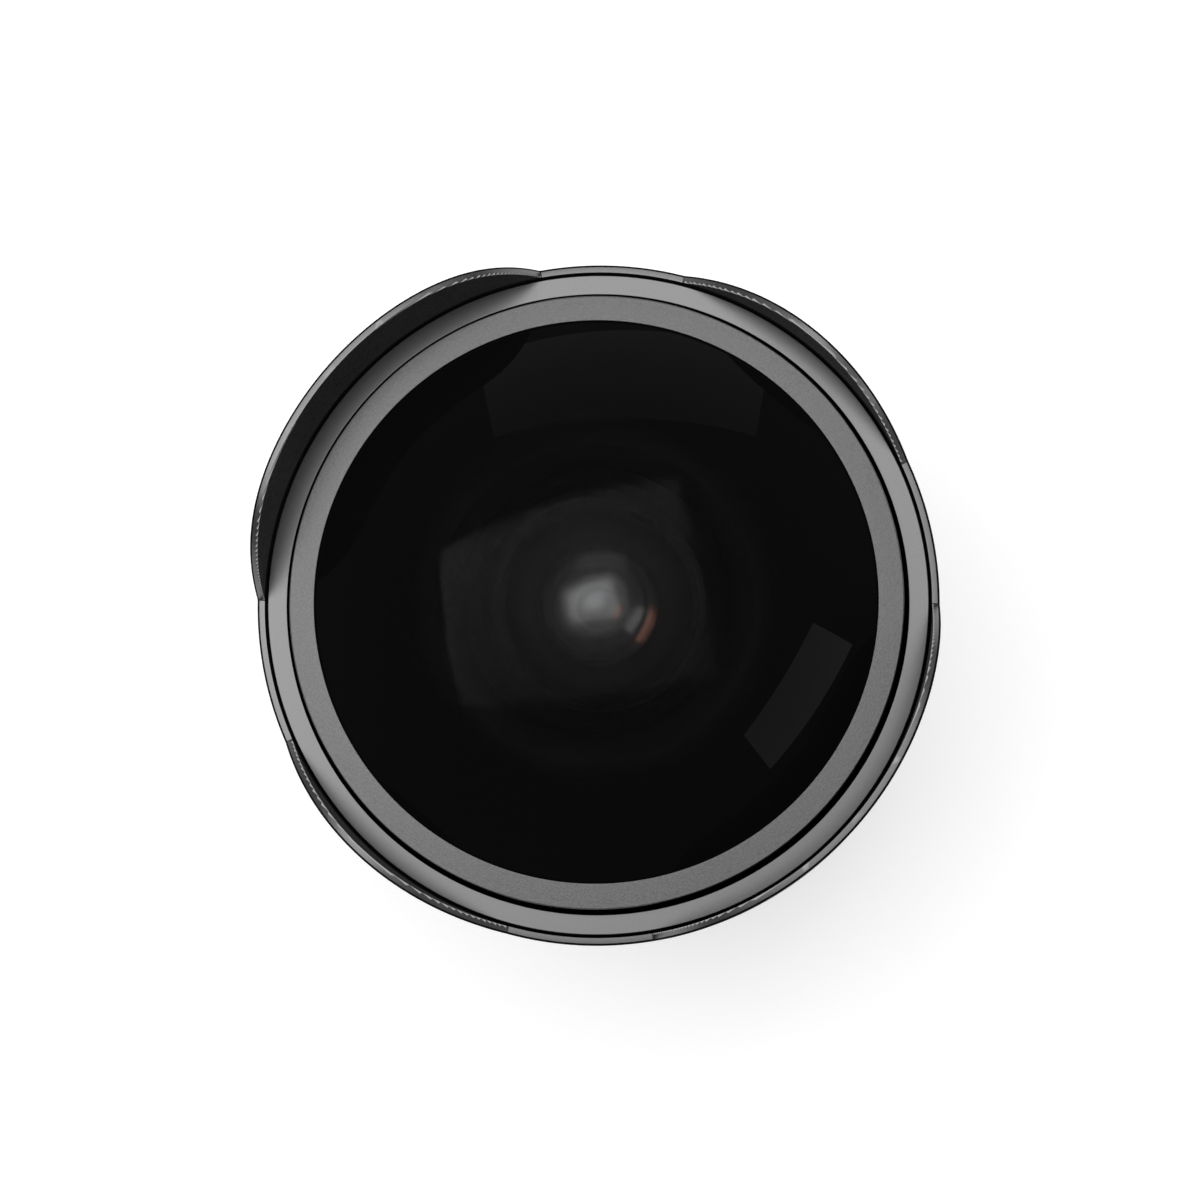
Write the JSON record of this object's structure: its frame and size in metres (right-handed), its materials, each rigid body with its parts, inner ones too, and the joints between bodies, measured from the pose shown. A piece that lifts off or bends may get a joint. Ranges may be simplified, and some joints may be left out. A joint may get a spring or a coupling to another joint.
{
  "type": "fisheye lens",
  "caption": "Manual fisheye camera lens with a domed front glass in a petal hood, ribbed focus and aperture rings and a bayonet mount, with its cam, sliding cell and iris inside.",
  "frame": {"origin": "centre of the camera flange's contact face, on the optical axis", "axes": "+Z along the optical axis to the front glass; the tall petals of the hood lie at +Y and -Y, the narrow ones at +X and -X"},
  "size_m": [0.077, 0.077, 0.079],
  "materials": {
    "black_anodised": "satin black anodised, fine even grain",
    "hood_black": "satin black moulded, fine grooves inside",
    "matt_black": "matt black, fine grain",
    "blade_black": "blackened spring steel",
    "tube_aluminium": "turned",
    "mount_chrome": "satin chrome plate",
    "steel": "turned",
    "brass": "turned and greased",
    "rubber": "matt moulded ribs",
    "coated_glass": "polished and coated",
    "index_red": "gloss"
  },
  "bodies": {
    "barrel": {"bayonet_mount": "mount_chrome", "mount_screws": "steel", "rear_baffle": "matt_black", "rear_housing": "black_anodised", "mount_index": "index_red", "click_spring": "steel", "inner_tube": "tube_aluminium", "tube_screws": "steel", "scale_ring": "black_anodised", "front_barrel": "black_anodised", "barrel_screws": "steel", "trim_ring": "black_anodised"},
    "focus": {"focus_cam": "brass", "focus_ring": "black_anodised", "focus_screws": "steel", "focus_grip": "rubber"},
    "optics": {"cell_tube": "matt_black", "guide_rollers": "brass", "roller_screws": "steel", "front_retainer": "matt_black", "front_seal": "rubber", "front_element": "coated_glass", "front_spacer": "matt_black", "second_element": "coated_glass", "third_element": "coated_glass", "middle_retainer": "matt_black", "fourth_element": "coated_glass", "middle_spacer": "matt_black", "iris_base": "matt_black", "rear_cell": "matt_black", "doublet_front": "coated_glass", "doublet_rear": "coated_glass", "doublet_retainer": "matt_black", "rear_element": "coated_glass", "rear_retainer": "matt_black"},
    "aperture": {"aperture_ring": "black_anodised", "aperture_key": "steel"},
    "click": {"click_ball": "steel"},
    "iris_drive": {"iris_drive_ring": "steel"},
    "petal_hood": {"hood": "hood_black"},
    "blade_1": {"iris_blade_1": "blade_black"},
    "blade_2": {"iris_blade_2": "blade_black"},
    "blade_3": {"iris_blade_3": "blade_black"},
    "blade_4": {"iris_blade_4": "blade_black"},
    "blade_5": {"iris_blade_5": "blade_black"},
    "blade_6": {"iris_blade_6": "blade_black"},
    "blade_7": {"iris_blade_7": "blade_black"}
  },
  "joints": [
    {"name": "focus_turn", "type": "hinge", "parent": "barrel", "child": "focus", "pos_m": [0, 0, 0.0352], "axis": [0, 0, 1], "range_deg": [0, 90]},
    {"name": "focus_slide", "type": "slide", "parent": "barrel", "child": "optics", "axis": [0, 0, 1], "range_m": [0, 0.0009]},
    {"name": "aperture_turn", "type": "hinge", "parent": "barrel", "child": "aperture", "pos_m": [0, 0, 0.01065], "axis": [0, 0, 1], "range_deg": [0, 48]},
    {"name": "click_travel", "type": "slide", "parent": "barrel", "child": "click", "axis": [-1, 0, 0], "range_m": [0, 0.0003], "stiffness_N_per_m": 200, "springref_m": 0.0006},
    {"name": "iris_turn", "type": "hinge", "parent": "optics", "child": "iris_drive", "pos_m": [0, 0, 0.0115], "axis": [0, 0, 1], "range_deg": [0, 48]},
    {"name": "hood_twist", "type": "hinge", "parent": "barrel", "child": "petal_hood", "pos_m": [0, 0, 0.0575], "axis": [0, 0, 1], "range_deg": [0, 30]},
    {"name": "blade_1_swing", "type": "hinge", "parent": "optics", "child": "blade_1", "pos_m": [0.014, 0, 0.0155], "axis": [0, 0, 1], "range_deg": [0, 21.4]},
    {"name": "blade_2_swing", "type": "hinge", "parent": "optics", "child": "blade_2", "pos_m": [0.00873, 0.01095, 0.0155], "axis": [0, 0, 1], "range_deg": [0, 21.4]},
    {"name": "blade_3_swing", "type": "hinge", "parent": "optics", "child": "blade_3", "pos_m": [-0.00312, 0.01365, 0.0155], "axis": [0, 0, 1], "range_deg": [0, 21.4]},
    {"name": "blade_4_swing", "type": "hinge", "parent": "optics", "child": "blade_4", "pos_m": [-0.01261, 0.00607, 0.0155], "axis": [0, 0, 1], "range_deg": [0, 21.4]},
    {"name": "blade_5_swing", "type": "hinge", "parent": "optics", "child": "blade_5", "pos_m": [-0.01261, -0.00607, 0.0155], "axis": [0, 0, 1], "range_deg": [0, 21.4]},
    {"name": "blade_6_swing", "type": "hinge", "parent": "optics", "child": "blade_6", "pos_m": [-0.00312, -0.01365, 0.0155], "axis": [0, 0, 1], "range_deg": [0, 21.4]},
    {"name": "blade_7_swing", "type": "hinge", "parent": "optics", "child": "blade_7", "pos_m": [0.00873, -0.01095, 0.0155], "axis": [0, 0, 1], "range_deg": [0, 21.4]}
  ],
  "couplings": [
    {"joint": "focus_turn", "follows": "focus_slide", "rad_per_m": 1745.3},
    {"joint": "iris_turn", "follows": "aperture_turn", "ratio": 1},
    {"joint": "blade_1_swing", "follows": "aperture_turn", "ratio": 0.44583},
    {"joint": "blade_2_swing", "follows": "aperture_turn", "ratio": 0.44583},
    {"joint": "blade_3_swing", "follows": "aperture_turn", "ratio": 0.44583},
    {"joint": "blade_4_swing", "follows": "aperture_turn", "ratio": 0.44583},
    {"joint": "blade_5_swing", "follows": "aperture_turn", "ratio": 0.44583},
    {"joint": "blade_6_swing", "follows": "aperture_turn", "ratio": 0.44583},
    {"joint": "blade_7_swing", "follows": "aperture_turn", "ratio": 0.44583}
  ]
}
